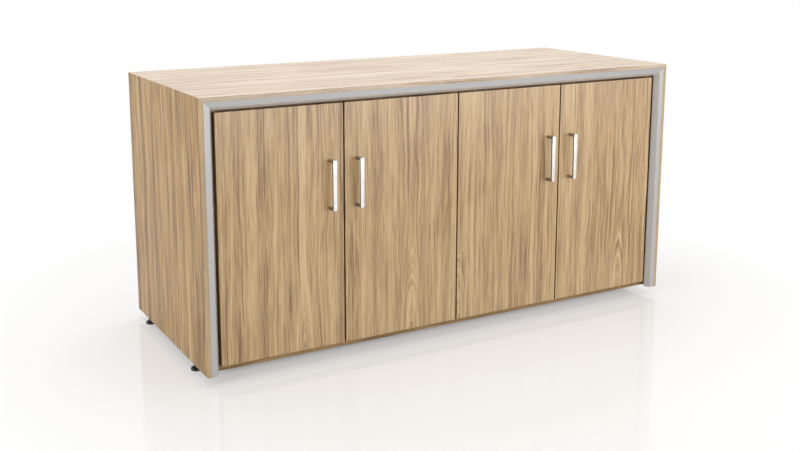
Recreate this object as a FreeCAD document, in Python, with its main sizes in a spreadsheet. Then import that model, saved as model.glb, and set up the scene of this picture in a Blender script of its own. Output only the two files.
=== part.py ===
import FreeCAD, Part
import os
import re
import sys
import Sketcher

# A four-door office credenza: a mitred wooden surround with an aluminium trim round its front,
# a plinthless case on six levelling feet, and four doors on concealed hinges with D pulls.
# Millimetres, +Z up, +X to the right and the front towards -Y. The origin is on the floor, under
# the centre of the whole piece.

SIZES = {
    # surround and case
    "width": 1524,
    "depth": 610,
    "panel_height": 723,
    "board": 25,
    "inner_board": 25,
    "back_board": 8,
    "spline_width": 14,
    "spline_thickness": 4,
    "spline_setback": 22,
    "rail_drop": 27,
    "rail_depth": 80,
    "stile_depth": 90,
    # aluminium trim
    "trim_lip": 11,
    "trim_face": 2,
    "trim_overhang": 1,
    "trim_splay": 9.5,
    "trim_depth": 17.5,
    "trim_web": 2.2,
    "tongue_offset": 5,
    "tongue_width": 2,
    "tongue_depth": 10,
    "tongue_clearance": 0.15,
    # doors
    "door_recess": 15,
    "door_board": 18,
    "door_seat": 2,
    "door_gap": 4,
    "side_reveal": 43.5,
    "top_reveal": 41,
    "bottom_reveal": 18,
    # pulls
    "pull_reach": 28,
    "pull_centres": 128,
    "pull_post": 8,
    "pull_width": 11,
    "pull_bar": 6,
    "pull_round": 1,
    "pull_inset": 38.5,
    "pull_drop": 216,
    "screw_radius": 2,
    "screw_clearance": 0.25,
    "screw_grip": 12,
    "screw_head_radius": 4,
    "screw_head_height": 2.4,
    # hinges
    "hinge_inset": 96,
    "cup_inset": 21.5,
    "cup_radius": 17.5,
    "cup_depth": 12.4,
    "cup_wall": 1.2,
    "cup_clearance": 0.05,
    "cup_flange": 1.2,
    "cup_ear_spacing": 48,
    "cup_rim": 1.5,
    "cup_ear_radius": 7,
    "cup_screw_radius": 1.75,
    "cup_screw_length": 11,
    "pin_radius": 1.5,
    "pin_half_length": 13.6,
    "pin_clearance": 0.05,
    "pin_inset": 12.3,
    "pin_depth": 12.45,
    "knuckle_radius": 3.2,
    "link_half_height": 4,
    "link_thickness": 3,
    "link_elbow_in": 26.2,
    "link_elbow_back": 16.8,
    "link_shoulder_in": 18.6,
    "link_shoulder_back": 31.9,
    "link_tail_in": 16,
    "link_tail_back": 74.5,
    "arm_clearance": 1,
    "arm_wall": 1.5,
    "arm_inner": 14.5,
    "arm_length": 51,
    "arm_setback": 7,
    "adjuster_radius": 2.8,
    "adjuster_stand": 0.8,
    "adjuster_inset": 12,
    "plate_thickness": 2,
    "plate_half_height": 16,
    "plate_length": 40,
    "plate_screw_spacing": 22,
    "plate_screw_radius": 2.2,
    "plate_screw_length": 12,
    # shelves
    "shelf_board": 25,
    "shelf_setback": 96,
    "shelf_side_gap": 1,
    "shelf_back_gap": 3,
    "hole_pitch": 32,
    "hole_radius": 2.5,
    "hole_depth": 9,
    "pin_row_inset": 50,
    "shelf_pin_reach": 8,
    # feet
    "foot_height": 26,
    "foot_radius": 15.5,
    "foot_pad": 8,
    "foot_neck_radius": 8,
    "foot_stem_radius": 4,
    "foot_stem_length": 22,
    "foot_stem_clearance": 0.08,
    "insert_radius": 6,
    "insert_length": 16,
    "foot_side_inset": 15.5,
    "foot_inset": 133,
    "foot_back_inset": 73,
    # bumpers and dowels
    "bumper_radius": 5,
    "bumper_gap": 0.3,
    "bumper_inset": 60,
    "dowel_radius": 4,
    "dowel_half_length": 14,
    "dowel_end_gap": 1,
    "dowel_inset": 110,
    # back panel
    "back_screw_radius": 1.75,
    "back_screw_length": 30,
    "back_head_radius": 3.5,
    "back_head_height": 2,
    "back_screw_inset": 60,
}

# Counts: the shelf-pin holes in each row, and the hole from the bottom that carries the shelf.
SHELF_HOLES = 13
SHELF_LEVEL = 8

PLACES = {
    "left": "-width / 2",
    "right": "width / 2",
    "front": "(pull_reach - door_recess - depth) / 2",
    "back": "front + depth",
    "base": "foot_height",
    "top": "foot_height + panel_height",
    "floor_top": "base + inner_board",
    "ceiling": "top - board",
    "back_face": "back - back_board",
    "door_front": "front + door_recess",
    "door_back": "door_front + door_board",
    "case_front": "door_back + door_seat",
    "door_width": "(width - 2 * side_reveal - 3 * door_gap) / 4",
    "door_bottom": "base + bottom_reveal",
    "door_top": "top - top_reveal",
    "overlay": "(inner_board - door_gap) / 2",
    "stile_face": "side_reveal + overlay",
    "rail_bottom": "ceiling - rail_drop",
    "half_inner": "inner_board / 2",
    "pull_middle": "top - top_reveal - pull_drop",
    "pull_back": "door_front - pull_reach + pull_bar",
    "lower_hinge": "door_bottom + hinge_inset",
    "upper_hinge": "door_top - hinge_inset",
    "shelf_front": "case_front + shelf_setback",
    "first_hole": f"(floor_top + ceiling) / 2 - {(SHELF_HOLES - 1) // 2} * hole_pitch",
    "shelf_bottom": f"first_hole + {SHELF_LEVEL - 1} * hole_pitch + hole_radius",
    "pin_row_front": "shelf_front + pin_row_inset",
    "pin_row_back": "back_face - pin_row_inset",
    "arm_roof": "overlay + plate_thickness + arm_inner",
    "arm_half_height": "link_half_height + arm_clearance + arm_wall",
}

doc = FreeCAD.newDocument("credenza")
sheet = doc.addObject("Spreadsheet::Sheet", "Sizes")
for row, (alias, number) in enumerate(SIZES.items(), start=1):
    sheet.set(f"A{row}", alias)
    sheet.set(f"B{row}", str(number))
    sheet.setAlias(f"B{row}", alias)
doc.recompute()

nodes = []


def expand(text):
    """Write out the named places and sizes of an expression as references to the sheet."""
    def swap(match):
        word = match.group(0)
        if word in PLACES:
            return "(" + expand(PLACES[word]) + ")"
        if word in SIZES:
            return "Sizes." + word
        return word
    return re.sub(r"[a-z_]+", swap, str(text))


def bind(thing, path, text):
    thing.setExpression(path, expand(text))


def node(thing, name):
    """Make an object one of the part's sub-parts."""
    thing.Label = name
    nodes.append(thing)
    return thing


def block(name, x, y, z):
    """A box between pairs of places on each axis."""
    box = doc.addObject("Part::Box", name)
    for axis, side, (low, high) in zip("xyz", ("Length", "Width", "Height"), (x, y, z)):
        bind(box, f"Placement.Base.{axis}", low)
        bind(box, side, f"({high}) - ({low})")
    return box


TURNS = {
    "x": FreeCAD.Rotation(FreeCAD.Vector(0, 1, 0), 90),
    "y": FreeCAD.Rotation(FreeCAD.Vector(1, 0, 0), -90),
    "z": FreeCAD.Rotation(),
}


def rod(name, axis, start, radius, length):
    """A cylinder that runs from its start along the positive axis."""
    cylinder = doc.addObject("Part::Cylinder", name)
    cylinder.Placement = FreeCAD.Placement(FreeCAD.Vector(), TURNS[axis])
    for letter, place in zip("xyz", start):
        bind(cylinder, f"Placement.Base.{letter}", place)
    bind(cylinder, "Radius", radius)
    bind(cylinder, "Height", length)
    return cylinder


def prism(name, plane, corners, start, length):
    """A padded outline: corners are pairs of places on the plane, start is where the pad begins."""
    body = doc.addObject("PartDesign::Body", name)
    sketch = body.newObject("Sketcher::SketchObject", name + "_outline")
    for feature in body.Origin.OriginFeatures:
        if feature.Role == plane + "_Plane":
            sketch.AttachmentSupport = [(feature, "")]
    sketch.MapMode = "FlatFace"
    count = len(corners)
    ring = [FreeCAD.Vector(i, i * i, 0) for i in range(count)]
    edges = [Part.LineSegment(ring[i], ring[(i + 1) % count]) for i in range(count)]
    sketch.addGeometry(edges, False)
    for i in range(count):
        sketch.addConstraint(Sketcher.Constraint("Coincident", i, 2, (i + 1) % count, 1))
    for i, corner in enumerate(corners):
        for kind, place in zip(("DistanceX", "DistanceY"), corner):
            index = sketch.addConstraint(Sketcher.Constraint(kind, -1, 1, i, 1, float(i + 1)))
            label = f"{kind}_{i}"
            sketch.renameConstraint(index, label)
            bind(sketch, f"Constraints.{label}", place)
    pad = body.newObject("PartDesign::Pad", name + "_pad")
    pad.Profile = sketch
    pad.Reversed = plane == "XZ"
    offset = f"-({start})" if plane == "XZ" else start
    bind(sketch, "AttachmentOffset.Base.z", offset)
    bind(pad, "Length", length)
    body.Tip = pad
    return body


def cut(name, base, tools):
    """Take tools away from a base."""
    result = doc.addObject("Part::Cut", name)
    result.Base = base
    result.Tool = tools[0] if len(tools) == 1 else fuse(name + "_tools", tools)
    return result


def fuse(name, pieces):
    result = doc.addObject("Part::MultiFuse", name)
    result.Shapes = pieces
    return result


def group(name, pieces):
    """Separate solids that are one node."""
    result = doc.addObject("Part::Compound", name)
    result.Links = pieces
    return result


def inward(side, near, far):
    """The pair of places between two distances in from the left or right face of the surround."""
    if side == "left":
        return f"left + {near}", f"left + {far}"
    return f"right - ({far})", f"right - ({near})"


# ---------------------------------------------------------------- surround

def surround_outline(panel, near, far):
    """The mitred outline of one board of the surround between two distances in from outside."""
    if panel == "top":
        return [(f"left + {near}", f"top - {near}"), (f"right - {near}", f"top - {near}"),
                (f"right - {far}", f"top - {far}"), (f"left + {far}", f"top - {far}")]
    edge, sign = ("left", "+") if panel == "left" else ("right", "-")
    return [(f"{edge} {sign} {near}", "base"), (f"{edge} {sign} {near}", f"top - {near}"),
            (f"{edge} {sign} {far}", f"top - {far}"), (f"{edge} {sign} {far}", "base")]


def spline(side, name, slack):
    """The loose tongue across one mitre, or its groove with slack on each face."""
    sign = 1 if side == "left" else -1
    middle_x = f"{side} + {sign} * board / 2"
    middle_z = "top - board / 2"
    along = f"(spline_width / 2 + {slack}) / sqrt(2)"
    across = f"(spline_thickness / 2 + {slack}) / sqrt(2)"
    corners = []
    for a, b in ((-1, -1), (1, -1), (1, 1), (-1, 1)):
        corners.append((f"{middle_x} + {sign} * ({a} * {along} + {b} * {across})",
                        f"{middle_z} + {a} * {along} - {b} * {across}"))
    length = "depth - back_board - 2 * spline_setback"
    return prism(name, "XZ", corners, f"front + spline_setback - {slack}", f"{length} + 2 * {slack}")


def surround_board(panel, name, more_cuts):
    """A board with a lip in front of the trim's rebate, a kerf for its tongue and mitre grooves."""
    lip = prism(name + "_lip", "XZ", surround_outline(panel, "0", "trim_lip"), "front",
                "trim_face")
    slab = prism(name + "_slab", "XZ", surround_outline(panel, "0", "board"),
                 "front + trim_face", "depth - trim_face")
    kerf_near = "(trim_lip + tongue_offset - tongue_clearance)"
    kerf_far = "(trim_lip + tongue_offset + tongue_width + tongue_clearance)"
    kerf = prism(name + "_kerf", "XZ", surround_outline(panel, kerf_near, kerf_far),
                 "front + trim_face", "tongue_depth + tongue_clearance")
    rebate_end = "back_face"
    rebate = block(name + "_rebate", ("left + board / 2", "right - board / 2"),
                   (rebate_end, "back"), ("base", "top - board / 2"))
    grooves = []
    for side in ("left", "right"):
        if panel in ("top", side):
            grooves.append(spline(side, f"{name}_groove_{side}", "tongue_clearance"))
    return node(cut(name, fuse(name + "_board", [lip, slab]), [kerf, rebate] + grooves + more_cuts),
                name)


def shelf_hole_rows(name, face, direction):
    """Two rows of shelf-pin holes into a face that looks along X."""
    holes = []
    start = face if direction > 0 else f"{face} - hole_depth"
    for row, place in (("front", "pin_row_front"), ("back", "pin_row_back")):
        for step in range(SHELF_HOLES):
            height = f"first_hole + {step} * hole_pitch"
            holes.append(rod(f"{name}_{row}_{step}", "x", (start, place, height), "hole_radius",
                             "hole_depth"))
    return holes


FOOT_PLACES = [(side, row) for side in ("left", "middle", "right") for row in ("front", "back")]
FOOT_X = {"left": "left + foot_side_inset", "middle": "0", "right": "right - foot_side_inset"}
FOOT_Y = {"front": "front + foot_inset", "back": "back - foot_back_inset"}


def foot_bore(name, side, row):
    """The stepped hole for one foot's threaded insert and the end of its stem."""
    x = FOOT_X[side]
    y = FOOT_Y[row]
    insert = rod(name + "_insert", "z", (x, y, "base"), "insert_radius", "insert_length")
    stem = rod(name + "_stem", "z", (x, y, "base"), "foot_stem_radius + foot_stem_clearance",
               "foot_stem_length + foot_stem_clearance")
    return [insert, stem]


DOWEL_ROWS = {"front": "case_front + dowel_inset", "middle": "(case_front + back_face) / 2",
              "back": "back_face - dowel_inset"}


def side_dowel(name, side, row, slack):
    """A dowel between an end panel and the bottom board, or its hole with slack at both ends."""
    joint = "left + board" if side == "left" else "right - board"
    half = f"(dowel_half_length + {slack})"
    return rod(name, "x", (f"{joint} - {half}", DOWEL_ROWS[row], "base + half_inner"),
               "dowel_radius", f"2 * {half}")


def upright_dowel(name, level, row, slack):
    """A dowel between the partition and the board under or over it, or its hole."""
    joint = "floor_top" if level == "bottom" else "ceiling"
    half = f"(dowel_half_length + {slack})"
    return rod(name, "z", ("0", DOWEL_ROWS[row], f"{joint} - {half}"), "dowel_radius",
               f"2 * {half}")


BACK_HEIGHTS = ("base + back_screw_inset", "(base + top) / 2", "top - back_screw_inset")
BACK_LEVELS = {"bottom": "base + half_inner", "top": "top - board * 3 / 4"}


def back_screw(name, x, z):
    """A countersunk screw through the back panel into the board in front of it."""
    shank = rod(name + "_shank", "y", (x, "back - back_screw_length", z), "back_screw_radius",
                "back_screw_length")
    head = rod(name + "_head", "y", (x, "back - back_head_height", z), "back_head_radius",
               "back_head_height")
    return fuse(name, [shank, head])


def back_screws(name, board):
    """The back panel's screws that go into one board, or their holes."""
    if board in BACK_LEVELS:
        return [back_screw(f"{name}_{step + 1}", f"{step} * width / 4", BACK_LEVELS[board])
                for step in (-1, 1)]
    x = {"left": "left + board * 3 / 4", "middle": "0", "right": "right - board * 3 / 4"}[board]
    return [back_screw(f"{name}_{index}", x, z) for index, z in enumerate(BACK_HEIGHTS)]


def dowel_holes(name, kind, place):
    return [kind(f"{name}_{place}_dowel_{row}", place, row, "dowel_end_gap") for row in DOWEL_ROWS]


top_cuts = dowel_holes("top_panel", upright_dowel, "top") + back_screws("top_back", "top")
surround_board("top", "top_panel", top_cuts)
for side, direction in (("left", -1), ("right", 1)):
    name = f"{side}_end_panel"
    face = "left + board" if side == "left" else "right - board"
    end_cuts = shelf_hole_rows(name, face, direction)
    end_cuts += dowel_holes(name, side_dowel, side) + back_screws(f"{side}_back", side)
    for row in FOOT_Y:
        end_cuts += foot_bore(f"{name}_foot_{row}", side, row)
    surround_board(side, name, end_cuts)
node(group("mitre_splines", [spline(side, f"mitre_spline_{side}", "0")
                             for side in ("left", "right")]), "mitre_splines")


# ---------------------------------------------------------------- aluminium trim

def trim_profile():
    """Section of the trim: distance in from the surround's outside, distance back from its front."""
    face_end = "board + trim_overhang"
    foot = f"{face_end} + trim_splay"
    rise = "trim_splay / trim_depth"
    cavity_start = f"(trim_web - trim_overhang) / ({rise})"
    return_front = "trim_depth - trim_face"
    return_inner = f"{face_end} + ({return_front}) * {rise} - trim_web"
    tongue_near = "trim_lip + tongue_offset"
    tongue_far = f"{tongue_near} + tongue_width"
    tongue_end = "trim_face + tongue_depth"
    return [("trim_lip", "0"), (face_end, "0"), (foot, "trim_depth"), ("board", "trim_depth"),
            ("board", return_front), (return_inner, return_front), ("board", cavity_start),
            ("board", "trim_face"), (tongue_far, "trim_face"), (tongue_far, tongue_end),
            (tongue_near, tongue_end), (tongue_near, "trim_face"), ("trim_lip", "trim_face")]


def trim(panel):
    name = f"trim_{panel}"
    if panel == "top":
        corners = [(f"front + {y}", f"top - ({s})") for s, y in trim_profile()]
        bar = prism(name + "_bar", "YZ", corners, "left", "width")
    else:
        edge, sign = ("left", "+") if panel == "left" else ("right", "-")
        corners = [(f"{edge} {sign} ({s})", f"front + {y}") for s, y in trim_profile()]
        bar = prism(name + "_bar", "XY", corners, "base", "panel_height")
    reach = "2 * board"
    mitre = prism(name + "_mitre", "XZ", surround_outline(panel, "0", reach), "front - board",
                  "trim_depth + 2 * board")
    common = doc.addObject("Part::MultiCommon", name)
    common.Shapes = [bar, mitre]
    node(common, name)


for panel in ("top", "left", "right"):
    trim(panel)


# ---------------------------------------------------------------- places on the doors

# Each door hangs at one upright edge: at its left edge for doors 1 and 3 (hand 1), at its right
# edge for doors 2 and 4 (hand -1). Distances "in" run from that edge across the door.
DOORS = {
    1: ("left + side_reveal", 1),
    2: ("-door_gap / 2", -1),
    3: ("door_gap / 2", 1),
    4: ("right - side_reveal", -1),
}
HINGES = {"lower": "lower_hinge", "upper": "upper_hinge"}


def across(number, near, far):
    """The pair of places between two distances in from a door's hinged edge."""
    edge, hand = DOORS[number]
    if hand > 0:
        return f"{edge} + {near}", f"{edge} + {far}"
    return f"{edge} - ({far})", f"{edge} - ({near})"


def into(number, distance):
    edge, hand = DOORS[number]
    return f"{edge} + {hand} * ({distance})"


def plate_screws(name, number):
    """The screws from one door's mounting plates into the board beside them, or their holes."""
    _, hand = DOORS[number]
    start = "overlay - plate_screw_length" if hand > 0 else "overlay + plate_thickness"
    y = "case_front + arm_setback + plate_length / 2"
    screws = []
    for hinge, height in HINGES.items():
        for step in (-1, 1):
            z = f"{height} + {step} * plate_screw_spacing / 2"
            screws.append(rod(f"{name}_{number}_{hinge}_{step + 1}", "x",
                              (into(number, start), y, z), "plate_screw_radius",
                              "plate_screw_length + plate_thickness"))
    return screws


# ---------------------------------------------------------------- case inside the surround

def case():
    bottom = block("bottom_board", ("left + board", "right - board"), ("case_front", "back_face"),
                   ("base", "floor_top"))
    bottom_cuts = dowel_holes("bottom_panel", upright_dowel, "bottom")
    bottom_cuts += dowel_holes("bottom_panel_l", side_dowel, "left")
    bottom_cuts += dowel_holes("bottom_panel_r", side_dowel, "right")
    for row in FOOT_Y:
        bottom_cuts += foot_bore(f"bottom_panel_foot_{row}", "middle", row)
    bottom_cuts += back_screws("bottom_back", "bottom")
    node(cut("bottom_panel", bottom, bottom_cuts), "bottom_panel")

    partition = block("partition_board", ("-half_inner", "half_inner"), ("case_front", "back_face"),
                      ("floor_top", "ceiling"))
    notch = block("partition_notch", ("-half_inner", "half_inner"),
                  ("case_front", "case_front + rail_depth"), ("rail_bottom", "ceiling"))
    web = block("partition_web", ("-half_inner + half_inner / 2", "half_inner / 2"),
                ("case_front", "case_front + rail_depth"), ("rail_bottom", "ceiling"))
    partition_cuts = [cut("partition_shoulder", notch, [web])]
    partition_cuts += shelf_hole_rows("partition_l", "-half_inner", 1)
    partition_cuts += shelf_hole_rows("partition_r", "half_inner", -1)
    partition_cuts += dowel_holes("partition", upright_dowel, "bottom")
    partition_cuts += dowel_holes("partition", upright_dowel, "top")
    partition_cuts += plate_screws("partition", 2) + plate_screws("partition", 3)
    partition_cuts += back_screws("partition_back", "middle")
    node(cut("centre_partition", partition, partition_cuts), "centre_partition")

    for side in ("left", "right"):
        stile = block(f"{side}_stile_board", inward(side, "board", "stile_face"),
                      ("case_front", "case_front + stile_depth"), ("floor_top", "ceiling"))
        screws = plate_screws("stile", 1 if side == "left" else 4)
        node(cut(f"{side}_hinge_stile", stile, screws), f"{side}_hinge_stile")
        near = "half_inner / 2"
        if side == "left":
            span = ("left + stile_face", f"-({near})")
        else:
            span = (near, "right - stile_face")
        node(block(f"{side}_top_rail", span, ("case_front", "case_front + rail_depth"),
                   ("rail_bottom", "ceiling")), f"{side}_top_rail")

    back = block("back_board_sheet", ("left + board / 2", "right - board / 2"),
                 ("back_face", "back"), ("base", "top - board / 2"))
    screws = []
    for board in ("left", "middle", "right", "bottom", "top"):
        screws += back_screws(f"back_screw_{board}", board)
    node(cut("back_panel", back, screws), "back_panel")
    node(group("back_screws", screws), "back_screws")

    dowels = []
    for row in DOWEL_ROWS:
        for side in ("left", "right"):
            dowels.append(side_dowel(f"dowel_{side}_{row}", side, row, "0"))
        for level in ("bottom", "top"):
            dowels.append(upright_dowel(f"dowel_{level}_{row}", level, row, "0"))
    node(group("case_dowels", dowels), "case_dowels")


def shelves():
    pins = []
    for side in ("left", "right"):
        sign = -1 if side == "left" else 1
        outer = "left + board" if side == "left" else "right - board"
        middle = f"{sign} * half_inner"
        low, high = (outer, middle) if side == "left" else (middle, outer)
        node(block(f"{side}_shelf", (f"{low} + shelf_side_gap", f"{high} - shelf_side_gap"),
                   ("shelf_front", "back_face - shelf_back_gap"),
                   ("shelf_bottom", "shelf_bottom + shelf_board")), f"{side}_shelf")
        for end, place in (("low", f"{low} - hole_depth"), ("high", f"{high} - shelf_pin_reach")):
            for row in ("pin_row_front", "pin_row_back"):
                pins.append(rod(f"{side}_{end}_{row}", "x",
                                (place, row, "shelf_bottom - hole_radius"), "hole_radius",
                                "hole_depth + shelf_pin_reach"))
    node(group("shelf_pins", pins), "shelf_pins")


# ---------------------------------------------------------------- mounting plates

def adjuster(number, name, y, height):
    """An adjusting screw in the outer wall of a hinge arm."""
    _, hand = DOORS[number]
    start = "arm_roof" if hand > 0 else "arm_roof + arm_wall + adjuster_stand"
    return rod(name, "x", (into(number, start), y, height), "adjuster_radius",
               "arm_wall + adjuster_stand")


def mounting_plates():
    """The fixed half of every hinge: plate, arm and plate screws."""
    plates = []
    arms = []
    screws = []
    adjusters = []
    for number in DOORS:
        door_screws = plate_screws("plate", number)
        screws += door_screws
        for hinge, height in HINGES.items():
            name = f"{hinge}_{number}"
            face = across(number, "overlay", "overlay + plate_thickness")
            start = "case_front + arm_setback"
            plate = block(f"plate_{name}", face, (start, f"{start} + plate_length"),
                          (f"{height} - plate_half_height", f"{height} + plate_half_height"))
            plates.append(cut(f"drilled_plate_{name}", plate, door_screws))
            outer = block(f"arm_outer_{name}",
                          across(number, "overlay + plate_thickness", "arm_roof + arm_wall"),
                          (start, f"{start} + arm_length"),
                          (f"{height} - arm_half_height", f"{height} + arm_half_height"))
            inner = block(f"arm_inner_{name}",
                          across(number, "overlay + plate_thickness", "arm_roof"),
                          (start, f"{start} + arm_length"),
                          (f"{height} - arm_half_height + arm_wall",
                           f"{height} + arm_half_height - arm_wall"))
            pair = [adjuster(number, f"adjuster_{name}_{index}", y, height)
                    for index, y in enumerate((f"{start} + adjuster_inset",
                                               f"{start} + arm_length - adjuster_inset"))]
            adjusters += pair
            arms.append(cut(f"arm_{name}", outer, [inner] + pair))
    node(group("hinge_plates", plates), "hinge_plates")
    node(group("hinge_plate_screws", screws), "hinge_plate_screws")
    node(group("hinge_arms", arms), "hinge_arms")
    node(group("hinge_adjusters", adjusters), "hinge_adjusters")


# ---------------------------------------------------------------- doors

def cup_pieces(number, hinge):
    """One hinge cup with its flange, its two screws and its pivot pin."""
    name = f"cup_{number}_{hinge}"
    height = HINGES[hinge]
    x = into(number, "cup_inset")
    floor = "door_back - cup_depth"
    shell = rod(name + "_shell", "y", (x, floor, height), "cup_radius - cup_clearance",
                "cup_depth")
    flange = [rod(name + "_rim", "y", (x, "door_back", height), "cup_radius + cup_rim",
                  "cup_flange"),
              block(name + "_wings", (f"{x} - cup_ear_radius", f"{x} + cup_ear_radius"),
                    ("door_back", "door_back + cup_flange"),
                    (f"{height} - cup_ear_spacing / 2", f"{height} + cup_ear_spacing / 2"))]
    hollow = rod(name + "_hollow", "y", (x, f"{floor} + cup_wall", height),
                 "cup_radius - cup_clearance - cup_wall", "cup_depth + cup_flange")
    pin = rod(name + "_pin", "z",
              (into(number, "pin_inset"), "door_front + pin_depth", f"{height} - pin_half_length"),
              "pin_radius", "2 * pin_half_length")
    screws = []
    for step in (-1, 1):
        z = f"{height} + {step} * cup_ear_spacing / 2"
        flange.append(rod(f"{name}_ear_{step + 1}", "y", (x, "door_back", z), "cup_ear_radius",
                          "cup_flange"))
        screws.append(rod(f"{name}_screw_{step + 1}", "y",
                          (x, "door_back + cup_flange - cup_screw_length", z), "cup_screw_radius",
                          "cup_screw_length"))
    cup = cut(name, fuse(name + "_body", [shell] + flange), [hollow, pin] + screws)
    return cup, pin, screws


LINK_PATH = [("link_elbow_in", "link_elbow_back"), ("link_shoulder_in", "link_shoulder_back"),
             ("link_tail_in", "link_tail_back")]


def link(number, hinge):
    """The cranked link from the cup's pin into the arm: a chain of straight plates."""
    name = f"link_{number}_{hinge}"
    height = HINGES[hinge]
    low = f"{height} - link_half_height"
    tall = "2 * link_half_height"
    start = ("pin_inset", "pin_depth")
    points = [start] + LINK_PATH
    pieces = []
    for index in range(len(points) - 1):
        (a_in, a_back), (b_in, b_back) = points[index], points[index + 1]
        run_in = f"({b_in} - {a_in})"
        run_back = f"({b_back} - {a_back})"
        size = f"sqrt({run_in} * {run_in} + {run_back} * {run_back})"
        side_in = f"link_thickness / 2 * {run_back} / {size}"
        side_back = f"link_thickness / 2 * {run_in} / {size}"
        outline = []
        for place_in, place_back, sign in ((a_in, a_back, 1), (b_in, b_back, 1),
                                           (b_in, b_back, -1), (a_in, a_back, -1)):
            outline.append((into(number, f"{place_in} + {sign} * {side_in}"),
                            f"door_front + {place_back} - {sign} * {side_back}"))
        pieces.append(prism(f"{name}_plate_{index}", "XY", outline, low, tall))
    for index, (place_in, place_back) in enumerate(LINK_PATH):
        pieces.append(rod(f"{name}_bend_{index}", "z",
                          (into(number, place_in), f"door_front + {place_back}", low),
                          "link_thickness / 2", tall))
    pivot = (into(number, "pin_inset"), "door_front + pin_depth", low)
    pieces.append(rod(f"{name}_knuckle", "z", pivot, "knuckle_radius", tall))
    bore = rod(f"{name}_bore", "z", pivot, "pin_radius + pin_clearance", tall)
    return cut(name, fuse(name + "_body", pieces), [bore])


def pull(number):
    """A D pull: a square bar on two square posts, screwed from behind the door."""
    _, hand = DOORS[number]
    x = into(number, "door_width - pull_inset")
    half = "pull_width / 2"
    wide = (f"{x} - {half}", f"{x} + {half}")
    bar = block(f"pull_{number}_bar", wide, ("door_front - pull_reach", "pull_back"),
                ("pull_middle - (pull_centres + pull_post) / 2",
                 "pull_middle + (pull_centres + pull_post) / 2"))
    pieces = [bar]
    holes = []
    screws = []
    door_holes = []
    for step in (-1, 1):
        z = f"pull_middle + {step} * pull_centres / 2"
        label = f"pull_{number}_{step + 1}"
        pieces.append(block(label + "_post", wide, ("pull_back", "door_front"),
                            (f"{z} - pull_post / 2", f"{z} + pull_post / 2")))
        holes.append(rod(label + "_thread", "y", (x, "door_front - screw_grip", z), "screw_radius",
                         "screw_grip"))
        door_holes.append(rod(label + "_clear", "y", (x, "door_front", z),
                              "screw_radius + screw_clearance", "door_board"))
        shank = rod(label + "_shank", "y", (x, "door_front - screw_grip", z), "screw_radius",
                    "screw_grip + door_board")
        head = rod(label + "_head", "y", (x, "door_back", z), "screw_head_radius",
                   "screw_head_height")
        screws.append(fuse(label + "_screw", [shank, head]))
    body = fuse(f"pull_{number}_body", pieces)
    doc.recompute()
    rounded = doc.addObject("Part::Fillet", f"pull_{number}_rounded")
    rounded.Base = body
    box = body.Shape.BoundBox
    outer = []
    for index, edge in enumerate(body.Shape.Edges, start=1):
        ends = [vertex.Point for vertex in edge.Vertexes]
        if all(abs(point.y - box.YMin) < 0.01 for point in ends):
            outer.append((index, SIZES["pull_round"], SIZES["pull_round"]))
    rounded.Edges = outer
    node(cut(f"door_{number}_pull", rounded, holes), f"door_{number}_pull")
    node(group(f"door_{number}_pull_screws", screws), f"door_{number}_pull_screws")
    return door_holes


def door(number):
    span = across(number, "0", "door_width")
    panel = block(f"door_{number}_board", span, ("door_front", "door_back"),
                  ("door_bottom", "door_top"))
    cuts = pull(number)
    cups = []
    pins = []
    screws = []
    for hinge, height in HINGES.items():
        cup, pin, cup_screws = cup_pieces(number, hinge)
        cups.append(cup)
        pins.append(pin)
        screws += cup_screws
        cuts.append(rod(f"door_{number}_{hinge}_bore", "y",
                        (into(number, "cup_inset"), "door_back - cup_depth", height), "cup_radius",
                        "cup_depth"))
    cuts += screws
    name = f"door_{number}"
    node(cut(f"{name}_panel", panel, cuts), f"{name}_panel")
    node(group(f"{name}_hinge_cups", cups), f"{name}_hinge_cups")
    node(group(f"{name}_hinge_pins", pins), f"{name}_hinge_pins")
    node(group(f"{name}_cup_screws", screws), f"{name}_cup_screws")
    node(group(f"{name}_hinge_links", [link(number, hinge) for hinge in HINGES]),
         f"{name}_hinge_links")


# ---------------------------------------------------------------- feet and bumpers

def feet():
    inserts = []
    for index, (side, row) in enumerate(FOOT_PLACES, start=1):
        x = FOOT_X[side]
        y = FOOT_Y[row]
        pad = rod(f"foot_{index}_pad", "z", (x, y, "0"), "foot_radius", "foot_pad")
        neck = rod(f"foot_{index}_neck", "z", (x, y, "foot_pad"), "foot_neck_radius",
                   "foot_height - foot_pad - foot_stem_clearance")
        stem = rod(f"foot_{index}_stem", "z", (x, y, "foot_height - foot_stem_clearance"),
                   "foot_stem_radius", "foot_stem_length")
        node(fuse(f"foot_{index}", [pad, neck, stem]), f"foot_{index}")
        sleeve = rod(f"insert_{index}_sleeve", "z", (x, y, "base"), "insert_radius",
                     "insert_length")
        hole = rod(f"insert_{index}_hole", "z", (x, y, "base"),
                   "foot_stem_radius + foot_stem_clearance", "insert_length")
        inserts.append(cut(f"insert_{index}", sleeve, [hole]))
    node(group("foot_inserts", inserts), "foot_inserts")


def bumpers():
    """Soft stops on the case's front edges, behind each door's free edge."""
    pieces = []
    for number in DOORS:
        x = into(number, "door_width - bumper_inset")
        for level, z in (("top", "(rail_bottom + door_top) / 2"),
                         ("bottom", "(floor_top + door_bottom) / 2")):
            pieces.append(rod(f"bumper_{number}_{level}", "y",
                              (x, "door_back + bumper_gap", z), "bumper_radius",
                              "door_seat - bumper_gap"))
    node(group("door_bumpers", pieces), "door_bumpers")


case()
shelves()
mounting_plates()
for number in DOORS:
    door(number)
feet()
bumpers()
doc.recompute()

# ---------------------------------------------------------------- check and write

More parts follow.
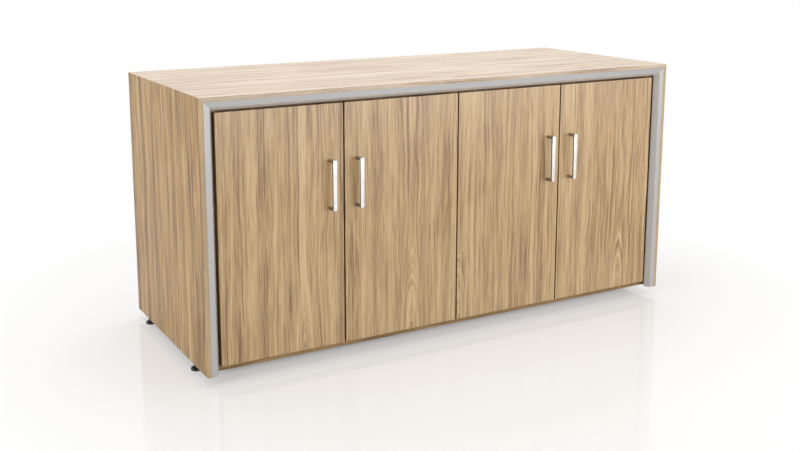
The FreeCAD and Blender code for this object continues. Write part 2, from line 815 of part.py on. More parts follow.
faults = [thing.Name for thing in doc.Objects if {"Invalid", "Error"} & set(thing.State)]
for thing in nodes:
    if thing.Shape.isNull() or not thing.Shape.isValid():
        faults.append(thing.Label)
if faults:
    print("failed objects:", ", ".join(faults))
    sys.exit(1)
os.makedirs("parts", exist_ok=True)
for thing in nodes:
    thing.Shape.exportStep(os.path.join("parts", thing.Label + ".step"))
print(len(nodes), "nodes")
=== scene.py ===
import math

import bmesh
import bpy
from mathutils import Matrix, Vector

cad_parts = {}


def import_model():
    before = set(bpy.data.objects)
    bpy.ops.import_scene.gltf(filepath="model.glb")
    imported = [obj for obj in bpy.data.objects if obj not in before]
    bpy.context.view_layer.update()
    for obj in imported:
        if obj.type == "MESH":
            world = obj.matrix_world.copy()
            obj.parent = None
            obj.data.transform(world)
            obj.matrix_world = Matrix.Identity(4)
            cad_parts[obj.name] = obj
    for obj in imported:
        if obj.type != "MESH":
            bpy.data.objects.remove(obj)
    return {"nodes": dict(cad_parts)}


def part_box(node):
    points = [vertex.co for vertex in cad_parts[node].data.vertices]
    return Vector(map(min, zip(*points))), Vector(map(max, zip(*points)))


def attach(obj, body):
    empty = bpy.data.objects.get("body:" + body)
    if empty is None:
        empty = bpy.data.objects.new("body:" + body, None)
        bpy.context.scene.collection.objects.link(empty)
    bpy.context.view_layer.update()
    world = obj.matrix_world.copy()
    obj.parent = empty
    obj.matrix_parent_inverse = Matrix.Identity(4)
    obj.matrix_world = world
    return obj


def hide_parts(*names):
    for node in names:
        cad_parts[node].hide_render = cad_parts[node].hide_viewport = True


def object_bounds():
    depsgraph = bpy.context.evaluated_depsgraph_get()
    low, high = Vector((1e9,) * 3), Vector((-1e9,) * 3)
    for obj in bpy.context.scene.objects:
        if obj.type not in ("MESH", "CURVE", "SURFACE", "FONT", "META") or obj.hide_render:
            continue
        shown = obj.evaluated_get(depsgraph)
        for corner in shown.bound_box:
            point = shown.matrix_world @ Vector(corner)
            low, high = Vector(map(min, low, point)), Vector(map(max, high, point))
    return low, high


# Lengths and places are in metres and angles in radians, where nothing else is said. The front looks
# along -Y, and the floor is at height 0.
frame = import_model()
cad_low, cad_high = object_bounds()
NODES = frame["nodes"]


def srgb(red, green, blue):
    """A linear colour from its display values, 0 to 255, by the curve of the sRGB standard."""
    def linear(value):
        share = value / 255
        return share / 12.92 if share <= 0.04045 else ((share + 0.055) / 1.055) ** 2.4
    return (linear(red), linear(green), linear(blue), 1.0)


def shaded(colour, factor, lift=0.0):
    """The colour with its channels multiplied by a factor and lifted, at most to white."""
    return tuple(min(1.0, channel * factor + lift) for channel in colour[:3]) + (1.0,)


def placed(name, data):
    """A new object of some data, in the scene."""
    made = bpy.data.objects.new(name, data)
    bpy.context.scene.collection.objects.link(made)
    return made


# ---------------------------------------------------------------- material helpers

# How far a face's normal lies along an axis where the face begins to count as square to it, and does.
SQUARE_FROM, SQUARE_FULL = 0.6, 0.95

# The mix node's sockets for colours, which come after those for numbers and vectors.
MIX_FIRST, MIX_SECOND, MIX_RESULT = 6, 7, 2

# The middle of a noise, and the values between which nearly all of it lies.
NOISE_MIDDLE = 0.5
NOISE_LOW, NOISE_HIGH = 0.3, 0.7


class Shader:
    """A material's node tree, with short calls for the nodes used here."""

    def __init__(self, name):
        self.material = bpy.data.materials.new(name)
        self.material.use_nodes = True
        self.tree = self.material.node_tree
        self.surface = self.tree.nodes["Principled BSDF"]
        place = self.add("ShaderNodeTexCoord")
        self.point = place.outputs["Object"]
        self.normal = place.outputs["Normal"]

    def add(self, kind, **settings):
        made = self.tree.nodes.new(kind)
        for key, value in settings.items():
            setattr(made, key, value)
        return made

    def feed(self, socket, value):
        """Link an output to an input socket, or give the socket a plain value."""
        if isinstance(value, bpy.types.NodeSocket):
            self.tree.links.new(value, socket)
        else:
            socket.default_value = value

    def math(self, operation, first, second=0.0):
        made = self.add("ShaderNodeMath", operation=operation)
        self.feed(made.inputs[0], first)
        self.feed(made.inputs[1], second)
        return made.outputs[0]

    def axes(self, vector):
        made = self.add("ShaderNodeSeparateXYZ")
        self.feed(made.inputs[0], vector)
        return made.outputs

    def vector(self, x, y, z):
        made = self.add("ShaderNodeCombineXYZ")
        for socket, value in zip(made.inputs, (x, y, z)):
            self.feed(socket, value)
        return made.outputs[0]

    def facing(self, axis):
        """1 on faces square to the axis, 0 on the others, in the object's own frame."""
        turned = self.math("ABSOLUTE", self.axes(self.normal)["XYZ".index(axis)])
        return self.spread(turned, SQUARE_FROM, SQUARE_FULL)

    def texture(self, dimensions, socket, place, scale, detail, roughness):
        made = self.add("ShaderNodeTexNoise", noise_dimensions=dimensions)
        self.feed(made.inputs[socket], place)
        for key, number in (("Scale", scale), ("Detail", detail), ("Roughness", roughness)):
            made.inputs[key].default_value = number
        return made.outputs["Fac"]

    def noise(self, vector, scale, detail=2.0, roughness=0.5):
        return self.texture("3D", "Vector", vector, scale, detail, roughness)

    def streaks(self, number, scale, detail=2.0, roughness=0.5):
        """Noise along one number, so that its bands follow that number's level lines."""
        return self.texture("1D", "W", number, scale, detail, roughness)

    def spread(self, value, low, high, new_low=0.0, new_high=1.0):
        """The value carried smoothly from one range to another, and held at the ends."""
        made = self.add("ShaderNodeMapRange", interpolation_type="SMOOTHSTEP")
        self.feed(made.inputs["Value"], value)
        for key, number in (("From Min", low), ("From Max", high), ("To Min", new_low),
                            ("To Max", new_high)):
            made.inputs[key].default_value = number
        return made.outputs["Result"]

    def mix(self, share, first, second):
        """The first colour where the share is 0, the second where it is 1."""
        made = self.add("ShaderNodeMix", data_type="RGBA")
        self.feed(made.inputs["Factor"], share)
        self.feed(made.inputs[MIX_FIRST], first)
        self.feed(made.inputs[MIX_SECOND], second)
        return made.outputs[MIX_RESULT]

    def ramp(self, value, places, colours):
        """The colours one after another as the value passes their places."""
        made = self.add("ShaderNodeValToRGB")
        self.feed(made.inputs["Fac"], value)
        points = made.color_ramp.elements
        while len(points) < len(places):
            # Any place will do here, because the places are set below.
            points.new(0.5)
        for point, place, colour in zip(points, places, colours):
            point.position = place
            point.color = colour
        return made.outputs["Color"]

    def bump(self, height, strength, distance):
        made = self.add("ShaderNodeBump")
        made.inputs["Strength"].default_value = strength
        made.inputs["Distance"].default_value = distance
        self.feed(made.inputs["Height"], height)
        self.feed(self.surface.inputs["Normal"], made.outputs["Normal"])

    def set(self, **values):
        """Set inputs of the surface. An underscore in a name stands for a space."""
        for key, value in values.items():
            self.feed(self.surface.inputs[key.replace("_", " ")], value)


# Where the dark, middle and light tones of a wood lie along its noise.
TONE_PLACES = (0.35, 0.50, 0.65)


def wood(name, along, figure, tones, gloss, edge_tint=None):
    """Wood-grain laminate: a narrow flat-cut figure among fine straight streaks.

    along is the axis of the grain, X or Z. The figure is the place of the trunk's heart across the
    board, where along it the arches start and stop, how far the cut then runs from the heart, and a
    seed. The tones are its dark, middle and light colours, and gloss is the level of its reflection.
    The edge argument is the axis square to the board's faces, and the share and colour mixed into its
    edges: pale tape on the ends, and elsewhere a dark brown that is painted shade.
    """
    centre, start, stop, depth, seed = figure
    shader = Shader(name)
    x, y, z = shader.axes(shader.point)
    if along == "X":
        length, breadth = x, shader.math("ADD", y, z)
    else:
        length, breadth = z, shader.math("ADD", x, y)

    def shifted(value, amount, size):
        return shader.math("ADD", value, shader.math("MULTIPLY", amount, size))

    def about_zero(noise):
        return shader.math("SUBTRACT", noise, NOISE_MIDDLE)

    def grain(place, stretch, offset, scale, detail, roughness=0.5):
        """Noise drawn out along the grain."""
        spot = shader.vector(place, seed + offset, shader.math("MULTIPLY", length, stretch))
        return about_zero(shader.noise(spot, scale, detail, roughness))

    # A point's distance from the heart: aside across the board and deep into the trunk, both made to
    # wander, and the radius that they give.
    aside = shader.math("SUBTRACT", breadth, centre)
    aside = shifted(aside, grain(breadth, stretch=0.25, offset=0.0, scale=5.0, detail=2.0), size=0.05)
    aside = shifted(aside, grain(breadth, stretch=0.3, offset=7.0, scale=26.0, detail=2.0), size=0.008)
    deep = shader.spread(length, start, stop, 0.0, depth)
    deep = shifted(deep, grain(breadth, stretch=0.5, offset=3.0, scale=6.0, detail=1.0), size=0.010)
    radius = shader.math("SQRT", shader.math("ADD", shader.math("MULTIPLY", aside, aside),
                                             shader.math("MULTIPLY", deep, deep)))
    radius = shader.math("ADD", radius, seed)

    # The growth rings follow that radius, and the rest runs along the board.
    bands = about_zero(shader.streaks(radius, scale=30.0, detail=1.0))
    lines = about_zero(shader.streaks(radius, scale=210.0, detail=2.0, roughness=0.65))
    streaks = grain(aside, stretch=0.030, offset=2.0, scale=110.0, detail=3.0, roughness=0.65)
    threads = grain(aside, stretch=0.020, offset=5.0, scale=400.0, detail=2.0, roughness=0.6)
    hairs = grain(aside, stretch=0.020, offset=9.0, scale=900.0, detail=1.0)
    patches = grain(aside, stretch=0.3, offset=13.0, scale=7.0, detail=2.0)
    near_heart = shader.spread(shader.math("ABSOLUTE", aside), low=0.01, high=0.07,
                               new_low=1.0, new_high=0.0)
    heart_lines = shader.math("MULTIPLY", lines, near_heart)

    tone = NOISE_MIDDLE
    for part, weight in ((bands, 0.24), (lines, 0.26), (heart_lines, 0.30), (streaks, 0.56),
                         (threads, 0.40), (hairs, 0.26), (patches, 0.16)):
        tone = shifted(tone, part, weight)
    dark = tones[0]
    colour = shader.ramp(tone, TONE_PLACES, tones)
    latewood = shader.math("MULTIPLY", shader.spread(lines, low=0.12, high=0.24, new_high=0.6),
                           shader.spread(patches, low=-0.15, high=0.15))
    colour = shader.mix(latewood, colour, dark)
    pores = shader.spread(threads, low=0.15, high=0.26, new_high=0.55)
    colour = shader.mix(pores, colour, dark)
    # Painted shade: the edges of the doors, level boards and top take a share of dark brown, and the ends'
    # edges take pale tape.
    if edge_tint:
        axis, share, tape_and_shade = edge_tint
        colour = shader.mix(shader.facing(axis), shader.mix(share, colour, tape_and_shade), colour)
    rough = shader.spread(threads, low=-0.2, high=0.2, new_low=0.30, new_high=0.38)
    shader.set(Base_Color=colour, Roughness=rough, Specular_IOR_Level=gloss)
    shader.bump(shader.math("ADD", threads, lines), strength=0.10, distance=0.0003)
    return shader.material


# How much of a drawn line's crosswise change is left along it.
DRAWN_STRETCH = 0.01


def metal(name, colour, roughness, along, side=None):
    """Drawn or brushed metal with fine lines along one axis.

    side is a darker colour for the faces that don't look forward or back, where given: painted shade.
    """
    shader = Shader(name)
    squeezed = [shader.math("MULTIPLY", axis, DRAWN_STRETCH) if letter == along else axis
                for letter, axis in zip("XYZ", shader.axes(shader.point))]
    lines = shader.noise(shader.vector(*squeezed), scale=1400.0)
    cloud = shader.noise(shader.point, scale=18.0, detail=3.0)
    shade = shader.math("ADD", shader.math("MULTIPLY", lines, 0.7), shader.math("MULTIPLY", cloud, 0.3))
    tint = shader.mix(shade, shaded(colour, 0.85), colour)
    # Painted shade: the faces that don't look forward or back take the darker side colour.
    if side:
        tint = shader.mix(shader.facing("Y"), side, tint)
    rough = shader.spread(shade, NOISE_LOW, NOISE_HIGH, roughness, roughness + 0.1)
    shader.set(Base_Color=tint, Metallic=1.0, Roughness=rough)
    shader.bump(lines, strength=0.08, distance=0.0002)
    return shader.material


def anodised(name, colour, splay):
    """Satin anodised aluminium: a matt metal whose film also scatters the light.

    splay is a lighter colour for the faces that don't look forward or back: painted light, where little
    light reaches them.
    """
    shader = Shader(name)
    lines = shader.noise(shader.point, scale=700.0)
    cloud = shader.noise(shader.point, scale=6.0)
    shade = shader.math("ADD", shader.math("MULTIPLY", lines, 0.5), shader.math("MULTIPLY", cloud, 0.5))
    # Painted light: the splays take the lighter colour.
    tint = shader.mix(shader.facing("Y"), splay, shader.mix(shade, shaded(colour, 0.9), colour))
    rough = shader.spread(shade, NOISE_LOW, NOISE_HIGH, 0.36, 0.46)
    shader.set(Base_Color=tint, Metallic=0.3, Roughness=rough)
    shader.bump(lines, strength=0.05, distance=0.0002)
    return shader.material


def plastic(name, colour, roughness):
    """Moulded plastic or rubber with a fine grain and faint wear."""
    shader = Shader(name)
    grain = shader.noise(shader.point, scale=1600.0)
    wear = shader.noise(shader.point, scale=60.0, detail=3.0)
    rough = shader.spread(wear, NOISE_LOW, NOISE_HIGH, roughness - 0.06, roughness + 0.06)
    shader.set(Base_Color=shader.mix(wear, colour, shaded(colour, 1.5, 0.01)), Roughness=rough)
    shader.bump(grain, strength=0.15, distance=0.0002)
    return shader.material


# ---------------------------------------------------------------- pieces

# Corners closer than this are one.
WELD = 1e-6

# Faces that meet at less than this are one flat face.
FLAT_ANGLE = math.radians(1)

# Edges sharper than this stay crisp on turned shapes.
CREASE_ANGLE = math.radians(32)

# Edges are eased where they are sharper than this, run along an axis as closely as this share of
# their length, and are longer than this many times the width of the easing.
SQUARE_ANGLE = math.radians(80)
STRAIGHT_SHARE = 0.9999
EASED_RUN = 4
EASED_SEGMENTS = 3

# A face whose normal lies less than this along an axis belongs to an easing.
AXIS_NORMAL = 0.99999

# Sides of a turned shape.
SCREW_SIDES, PAD_SIDES, COLLAR_SIDES, STEM_SIDES = 24, 48, 6, 24


def welded(name):
    """The shape of a node, with its seams closed."""
    shape = bmesh.new()
    shape.from_mesh(NODES[name].data)
    bmesh.ops.remove_doubles(shape, verts=shape.verts, dist=WELD)
    return shape


def solids(name):
    """Low and high corners of each solid of a node."""
    shape = welded(name)
    corners = []
    for first in shape.verts:
        if first.tag:
            continue
        first.tag = True
        front, group = [first], [first.co.copy()]
        while front:
            vert = front.pop()
            for edge in vert.link_edges:
                other = edge.other_vert(vert)
                if not other.tag:
                    other.tag = True
                    front.append(other)
                    group.append(other.co.copy())
        corners.append([Vector([pick(place[axis] for place in group) for axis in range(3)])
                        for pick in (min, max)])
    shape.free()
    return corners


def ring(shape, radius, height, count):
    """Corners evenly round a circle about the Z axis."""
    return [shape.verts.new((radius * math.cos(math.tau * step / count),
                             radius * math.sin(math.tau * step / count), height))
            for step in range(count)]


def bridge(shape, lower, upper):
    """Faces between two closed rows of as many corners."""
    for step in range(len(lower)):
        after = (step + 1) % len(lower)
        shape.faces.new((lower[step], lower[after], upper[after], upper[step]))


def turned(shape, profile, count, capped=True):
    """Surface of revolution through the profile's (radius, height) pairs. Gives back its top ring."""
    rings = [ring(shape, radius, height, count) for radius, height in profile]
    shape.faces.new(list(reversed(rings[0])))
    for lower, upper in zip(rings, rings[1:]):
        bridge(shape, lower, upper)
    if capped:
        shape.faces.new(rings[-1])
    return rings[-1]


def crossed_screw(shape, radius, height, shank, length):
    """A pan-head screw with a cross recess. Its head's top is at height 0 and its tip points down."""
    tip, core, taper = 0.3 * shank, 0.92 * shank, 1.6 * shank
    shank_outline = [(tip, -length), (core, taper - length), (core, -height)]
    head_outline = [(radius, -height), (radius, -0.5 * height), (0.9 * radius, -0.16 * height),
                    (0.7 * radius, 0.0)]
    rim = turned(shape, shank_outline + head_outline, SCREW_SIDES, capped=False)
    reach, half, recess_depth, recess_taper = 0.5 * radius, 0.14 * radius, 0.7 * height, 0.6
    cross = []
    for quarter in range(4):
        turn = math.tau * quarter / 4
        for across, out in ((-half, reach), (half, reach), (half, half)):
            cross.append((out * math.cos(turn) - across * math.sin(turn),
                          out * math.sin(turn) + across * math.cos(turn)))
    mouth = [shape.verts.new((x, y, 0.0)) for x, y in cross]
    bottom = [shape.verts.new((recess_taper * x, recess_taper * y, -recess_depth)) for x, y in cross]
    bridge(shape, bottom, mouth)
    shape.faces.new(bottom)
    sides = [(loop[step - 1], loop[step]) for loop in (rim, mouth) for step in range(len(loop))]
    edges = [shape.edges.get(side) or shape.edges.new(side) for side in sides]
    bmesh.ops.triangle_fill(shape, use_beauty=True, edges=edges)


def rounded(shape):
    """Shade a closed shape smooth over its shallow edges and crisp at the others."""
    bmesh.ops.recalc_face_normals(shape, faces=shape.faces)
    for face in shape.faces:
        face.smooth = True
    for edge in shape.edges:
        edge.smooth = edge.calc_face_angle() < CREASE_ANGLE


def piece(name, shape, material, body, node):
    """Make an object of a shape that stands for a node and rides on its body."""
    mesh = bpy.data.meshes.new(name)
    shape.to_mesh(mesh)
    shape.free()
    if mesh.has_custom_normals:
        mesh.attributes.remove(mesh.attributes["custom_normal"])
    mesh.materials.append(material)
    made = placed(name, mesh)
    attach(made, body)
    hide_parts(node)


def eased(node, width, body, material):
    """Stand in for a node with the same shape, its long outward edges rounded."""
    shape = welded(node)
    bmesh.ops.dissolve_limit(shape, angle_limit=FLAT_ANGLE, verts=shape.verts, edges=shape.edges)
    edges = []
    for edge in shape.edges:
        run = edge.verts[1].co - edge.verts[0].co
        straight = max(abs(part) for part in run) > STRAIGHT_SHARE * run.length
        if (straight and run.length > EASED_RUN * width and edge.is_manifold and edge.is_convex
                and edge.calc_face_angle() > SQUARE_ANGLE):
            edges.append(edge)
    bmesh.ops.bevel(shape, geom=edges, offset=width, offset_type="OFFSET", segments=EASED_SEGMENTS,
                    profile=0.5, affect="EDGES", clamp_overlap=True)
    shape.normal_update()
    for face in shape.faces:
        face.smooth = max(abs(part) for part in face.normal) < AXIS_NORMAL
    piece(f"{node}_eased", shape, material, body, node)


# Heights of the screws' heads.
SCREW_HEADS = {
    "pull_screws": 2.4e-3,
    "cup_screws": 1.2e-3,
    "hinge_plate_screws": 1.6e-3,
    "hinge_adjusters": 1.2e-3,
    "back_screws": 2.0e-3,
}

# A shank's radius as a share of its head's.
SHANK_SHARE = 0.55


def screws(node, kind, body, material):
    """Screws with crossed heads in the places of a node's solids.

    The hinges' screws look toward the middle of their bay, and the others look back.
    """
    whole = bmesh.new()
    for low, high in solids(node):
        size, centre = high - low, (low + high) / 2
        facing = Vector((0.0, 1.0, 0.0))
        if kind.startswith("hinge"):
            bay = math.copysign(cad_high.x / 2, centre.x)
            facing = Vector((1.0 if bay > centre.x else -1.0, 0.0, 0.0))
        radius, length = size.z / 2, abs(size.dot(facing))
        one = bmesh.new()
        crossed_screw(one, radius, SCREW_HEADS[kind], radius * SHANK_SHARE, length)
        head = centre + facing * length / 2
        one.transform(Matrix.Translation(head) @ facing.to_track_quat("Z", "Y").to_matrix().to_4x4())
        mesh = bpy.data.meshes.new("one_screw")
        one.to_mesh(mesh)
        one.free()
        whole.from_mesh(mesh)
        bpy.data.meshes.remove(mesh)
    rounded(whole)
    piece(f"{node}_crossed", whole, material, body, node)


# Radius and height of a foot's outlines, in millimetres: its pad from the floor up, the collar over
# it, and the threaded stem, whose top is the foot's.
GLIDE = ((14.0, 0.0), (15.0, 0.5), (15.5, 1.6), (15.5, 4.6), (15.0, 6.2), (13.6, 7.4), (11.4, 8.0),
         (8.0, 8.4), (7.6, 9.6), (7.4, 12.5))
COLLAR = ((7.9, 12.2), (7.9, 24.4), (7.2, 25.6))
STEM_START = 25.0
STEM_ROOT, STEM_CREST, STEM_POINT = 3.4, 3.95, 2.6
THREAD_PITCH = 1.25
MILLIMETRES = 1000
FEET = 6


def glides(material):
    """Levelling feet: a moulded pad with a rounded rim, a hexagonal collar and a threaded stem."""
    for number in range(1, FEET + 1):
        node = f"foot_{number}"
        low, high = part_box(node)
        height, top = STEM_START, MILLIMETRES * high.z
        thread = []
        while height < top - 2 * THREAD_PITCH:
            thread += [(STEM_ROOT, height), (STEM_CREST, height + THREAD_PITCH / 2)]
            height += THREAD_PITCH
        thread += [(STEM_ROOT, height), (STEM_POINT, top)]
        shape = bmesh.new()
        for outline, count in ((GLIDE, PAD_SIDES), (COLLAR, COLLAR_SIDES), (thread, STEM_SIDES)):
            turned(shape, [(radius / MILLIMETRES, rise / MILLIMETRES) for radius, rise in outline], count)
        shape.transform(Matrix.Translation(((low.x + high.x) / 2, (low.y + high.y) / 2, 0.0)))
        rounded(shape)
        piece(f"{node}_glide", shape, material, node, node)


# ---------------------------------------------------------------- finishes

# Dark, middle and light tones of the woods.
DOOR_TONES = (srgb(120, 83, 39), srgb(178, 146, 99), srgb(206, 178, 134))
END_TONES = (srgb(98, 63, 26), srgb(180, 141, 84), srgb(226, 192, 136))
TOP_TONES = (srgb(146, 116, 88), srgb(198, 176, 151), srgb(226, 210, 190))
BIRCH_TONES = (srgb(196, 168, 128), srgb(216, 192, 154), srgb(232, 214, 182))
# A dark brown mixed into the edges of the doors, level boards and top: painted shade for the dim gaps and
# recesses that they face. The pale colour goes on the ends' edges.
EDGE_SHADE_BROWN = srgb(62, 42, 24)
PALE_TAPE = srgb(187, 173, 146)

# Each door's heart from its left edge, the heights where the arches start and stop, their depth, and
# a seed.
DOOR_FIGURES = {
    1: (0.240, -0.05, 0.26, 0.026, 1.0),
    2: (0.205, -0.05, 0.32, 0.038, 14.0),
    3: (0.012, -0.05, 0.30, 0.034, 27.0),
    4: (0.250, -0.05, 0.32, 0.038, 41.0),
}

# The other boards' arches: low on the ends and uprights, and past the end of the level boards, where
# only straight grain is left.
ARCH_DEPTH = 0.04
END_ARCHES = (-0.5, 0.1)
UPRIGHT_ARCHES = (-0.5, 0.3)
NO_ARCHES = (-2.0, -1.0)

# How far the heart lies behind the back edge of the ends, and behind the middle of the top.
END_HEART = 0.1
TOP_HEART = 0.4

# Widths by which long edges are rounded.
BOARD_EASE = 0.8e-3
PULL_EASE = 0.6e-3


def dress(name, material):
    mesh = NODES[name].data
    mesh.materials.clear()
    mesh.materials.append(material)


def boards():
    """Laminate on every board, and birch on the splines and dowels that join them.

    A board's heart is given by x + y where its grain is upright, and by y + z where it runs along X.
    """
    for number, (across, *cut) in DOOR_FIGURES.items():
        low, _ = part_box(f"door_{number}_panel")
        figure = (low.x + low.y + across, *cut)
        # The doors' edges take the dark brown at a share of 0.6: painted shade in the narrow gaps between
        # doors.
        laminate = wood(f"door_{number}_laminate", "Z", figure, DOOR_TONES, gloss=0.9,
                        edge_tint=("Y", 0.6, EDGE_SHADE_BROWN))
        dress(f"door_{number}_panel", laminate)
        eased(f"door_{number}_panel", BOARD_EASE, f"door_{number}", laminate)
    for side, seed in (("left", 53.0), ("right", 67.0)):
        low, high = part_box(f"{side}_end_panel")
        figure = (low.x + high.y + END_HEART, *END_ARCHES, ARCH_DEPTH, seed)
        dress(f"{side}_end_panel", wood(f"{side}_end_laminate", "Z", figure, END_TONES, gloss=0.25,
                                        edge_tint=("X", 0.7, PALE_TAPE)))
    figure = (cad_high.z + TOP_HEART, *NO_ARCHES, ARCH_DEPTH, 79.0)
    # The top's edges take a little of the dark brown: painted shade.
    dress("top_panel", wood("top_laminate", "X", figure, TOP_TONES, gloss=0.5,
                            edge_tint=("Z", 0.15, EDGE_SHADE_BROWN)))
    figure = (0.3, *UPRIGHT_ARCHES, ARCH_DEPTH, 91.0)
    inner = wood("inner_laminate", "Z", figure, DOOR_TONES, gloss=0.4)
    figure = (0.9, *NO_ARCHES, ARCH_DEPTH, 103.0)
    # The level boards' edges take the dark brown at 0.45: painted shade, as on the bottom panel's front
    # edge under the doors.
    level = wood("level_laminate", "X", figure, END_TONES, gloss=0.4, edge_tint=("Z", 0.45, EDGE_SHADE_BROWN))
    for name in ("centre_partition", "left_hinge_stile", "right_hinge_stile", "back_panel"):
        dress(name, inner)
    for name in ("bottom_panel", "left_shelf", "right_shelf", "left_top_rail", "right_top_rail"):
        dress(name, level)
    for name in ("left_shelf", "right_shelf"):
        eased(name, BOARD_EASE, "carcass", level)
    birch = wood("bare_birch", "X", (0.5, *NO_ARCHES, ARCH_DEPTH, 118.0), BIRCH_TONES, gloss=0.3)
    for name in ("mitre_splines", "case_dowels"):
        dress(name, birch)


def fittings():
    """Metal on the trims, pulls, hinges and fixings, and crossed heads on the screws."""
    # The top trim and the uprights are one aluminium in two tones, for how light falls on each: the top
    # trim's face takes painted shade, and the splays take painted light.
    dress("trim_top", anodised("trim_top_aluminium", srgb(156, 156, 157), srgb(226, 226, 228)))
    upright = anodised("trim_side_aluminium", srgb(181, 180, 180), srgb(190, 189, 188))
    for name in ("trim_left", "trim_right"):
        dress(name, upright)
    # The pulls' sides and posts are a darker nickel than their fronts: painted shade.
    nickel = metal("pull_nickel", srgb(226, 225, 222), 0.22, "Z", srgb(162, 159, 153))
    steel = metal("hinge_steel", srgb(205, 205, 203), 0.28, "Y")
    zinc = metal("screw_zinc", srgb(196, 199, 202), 0.32, "X")
    for number in DOOR_FIGURES:
        dress(f"door_{number}_pull", nickel)
        eased(f"door_{number}_pull", PULL_EASE, f"door_{number}", nickel)
        for kind in ("hinge_cups", "hinge_links"):
            dress(f"door_{number}_{kind}", steel)
        dress(f"door_{number}_hinge_pins", zinc)
        for kind in ("pull_screws", "cup_screws"):
            dress(f"door_{number}_{kind}", zinc)
            screws(f"door_{number}_{kind}", kind, f"door_{number}", zinc)
    for name in ("hinge_plates", "hinge_arms"):
        dress(name, steel)
    for name in ("hinge_plate_screws", "hinge_adjusters", "back_screws", "shelf_pins", "foot_inserts"):
        dress(name, zinc)
    for name in ("hinge_plate_screws", "hinge_adjusters", "back_screws"):
        screws(name, name, "carcass", zinc)


def mouldings():
    """Nylon on the feet, which get their moulded shape, and rubber on the bumpers."""
    black = plastic("foot_nylon", srgb(17, 16, 14), 0.38)
    for name in NODES:
        if name.startswith("foot_") and name != "foot_inserts":
            dress(name, black)
    glides(black)
    dress("door_bumpers", plastic("bumper_rubber", srgb(190, 188, 182), 0.5))


# ---------------------------------------------------------------- studio

WHITE = (1.0, 1.0, 1.0, 1.0)
FLOOR_REACH = 40.0

# The floor's cloudy white as it is seen, and the colour that it throws back at the object.
FLOOR_WHITES = (srgb(231, 230, 228), srgb(236, 235, 233))
FLOOR_BOUNCE = srgb(172, 158, 138)

# Distances from the middle of the object between which the floor turns plain white.
FADE_START = 0.85
FADE_END = 1.55

# The share of plain white in the floor near the object, and well beneath it.
SHADOW_LIFT = 0.42
CONTACT_LIFT = 0.04

# How far inside the surround's footprint the share of white is lowest, and where it begins to fall.
CONTACT_DEEP = 0.13
CONTACT_SHALLOW = 0.05

# Strength of the world's light on the object, beside a strength of 1 where it is seen.
AMBIENT = 0.5


def outside(shader):
    """How far a point of the floor lies outside the surround's footprint, negative beneath it."""
    low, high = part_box("top_panel")
    x, y, _ = shader.axes(shader.point)
    beside = shader.math("SUBTRACT", shader.math("ABSOLUTE", x), high.x)
    inward = shader.math("ABSOLUTE", shader.math("SUBTRACT", y, (low.y + high.y) / 2))
    return shader.math("MAXIMUM", beside, shader.math("SUBTRACT", inward, (high.y - low.y) / 2))


def floor():
    """A pale glossy floor: a soft reflection and contact shadow near the object, white further off."""
    mesh = bpy.data.meshes.new("floor")
    shape = bmesh.new()
    bmesh.ops.create_grid(shape, x_segments=1, y_segments=1, size=FLOOR_REACH)
    shape.to_mesh(mesh)
    shape.free()
    ground = placed("floor", mesh)
    shader = Shader("floor_white")
    cloud = shader.noise(shader.point, scale=0.6)
    path = shader.add("ShaderNodeLightPath")
    seen = shader.math("MAXIMUM", path.outputs["Is Camera Ray"], path.outputs["Is Glossy Ray"])
    white = shader.mix(cloud, *FLOOR_WHITES)
    shader.set(Base_Color=shader.mix(seen, FLOOR_BOUNCE, white), Roughness=0.07, Specular_IOR_Level=1.0)
    distance = shader.add("ShaderNodeVectorMath", operation="LENGTH")
    shader.feed(distance.inputs[0], shader.point)
    far = shader.spread(distance.outputs["Value"], FADE_START, FADE_END, SHADOW_LIFT, 1.0)
    under = shader.spread(outside(shader), -CONTACT_DEEP, -CONTACT_SHALLOW, SHADOW_LIFT - CONTACT_LIFT, 0.0)
    lift = shader.math("SUBTRACT", far, under)
    glow = shader.add("ShaderNodeEmission")
    glow.inputs["Strength"].default_value = 1.0
    blend = shader.add("ShaderNodeMixShader")
    shader.feed(blend.inputs[0], shader.math("MULTIPLY", lift, seen))
    shader.feed(blend.inputs[1], shader.surface.outputs[0])
    shader.feed(blend.inputs[2], glow.outputs[0])
    shader.feed(shader.tree.nodes["Material Output"].inputs["Surface"], blend.outputs[0])
    mesh.materials.append(shader.material)


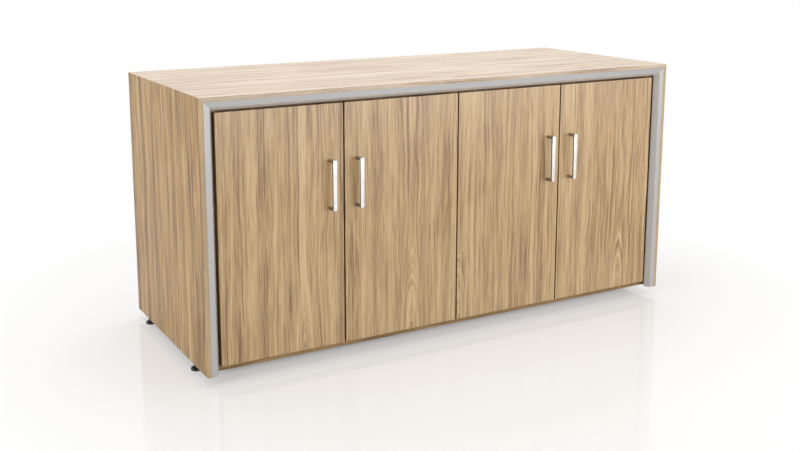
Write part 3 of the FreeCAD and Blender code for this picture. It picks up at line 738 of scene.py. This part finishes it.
def world():
    """White where the camera and reflections look past the floor, a soft even light elsewhere."""
    made = bpy.data.worlds.new("studio")
    bpy.context.scene.world = made
    made.use_nodes = True
    tree = made.node_tree
    tree.nodes.clear()
    path = tree.nodes.new("ShaderNodeLightPath")
    seen = tree.nodes.new("ShaderNodeMath")
    seen.operation = "MAXIMUM"
    tree.links.new(path.outputs["Is Camera Ray"], seen.inputs[0])
    tree.links.new(path.outputs["Is Glossy Ray"], seen.inputs[1])
    mix = tree.nodes.new("ShaderNodeMixShader")
    tree.links.new(seen.outputs[0], mix.inputs[0])
    for index, strength in ((1, AMBIENT), (2, 1.0)):
        glow = tree.nodes.new("ShaderNodeBackground")
        glow.inputs["Color"].default_value = WHITE
        glow.inputs["Strength"].default_value = strength
        tree.links.new(glow.outputs[0], mix.inputs[index])
    out = tree.nodes.new("ShaderNodeOutputWorld")
    tree.links.new(mix.outputs[0], out.inputs[0])


def lamp(name, place, target, size, power, mirrored=False):
    """An area lamp. Only a mirrored one shows in glossy surfaces."""
    data = bpy.data.lights.new(name, "AREA")
    data.shape = "RECTANGLE"
    data.size, data.size_y = size
    data.energy = power
    light = placed(name, data)
    light.location = place
    light.visible_glossy = mirrored
    light.rotation_mode = "QUATERNION"
    light.rotation_quaternion = (Vector(target) - Vector(place)).to_track_quat("-Z", "Y")


def lights():
    lamp("overhead", place=(0.0, 0.4, 3.2), target=(0.0, 0.0, 0.4), size=(3.6, 2.6), power=58.0)
    lamp("front_fill", place=(1.1, -3.1, 0.95), target=(0.1, 0.0, 0.6), size=(3.6, 1.2), power=58.0,
         mirrored=True)
    lamp("back_fill", place=(2.9, 2.9, 1.7), target=(0.3, 0.2, 0.4), size=(2.4, 2.0), power=46.0)
    lamp("left_fill", place=(-3.4, -0.6, 1.8), target=(-0.6, 0.0, 0.4), size=(2.0, 2.0), power=40.0)


# The camera looks along +Y, turned to the right by its yaw and down by its pitch. Its lens and sensor
# are in millimetres, and its shift is in widths of the frame.
CAMERA_PLACE = (-1.6088, -2.7375, 1.1162)
CAMERA_YAW = math.radians(29.39)
CAMERA_PITCH = math.radians(10.78)
CAMERA_LENS = 47.59
CAMERA_SENSOR = 36.0
CAMERA_SHIFT = (0.015, -0.10)


def camera():
    data = bpy.data.cameras.new("camera")
    data.lens = CAMERA_LENS
    data.sensor_width = CAMERA_SENSOR
    data.shift_x, data.shift_y = CAMERA_SHIFT
    seen = placed("camera", data)
    seen.location = CAMERA_PLACE
    seen.rotation_euler = (math.pi / 2 - CAMERA_PITCH, 0.0, -CAMERA_YAW)
    bpy.context.scene.camera = seen


boards()
fittings()
mouldings()
floor()
world()
lights()
camera()
bpy.context.scene.view_settings.view_transform = "Standard"
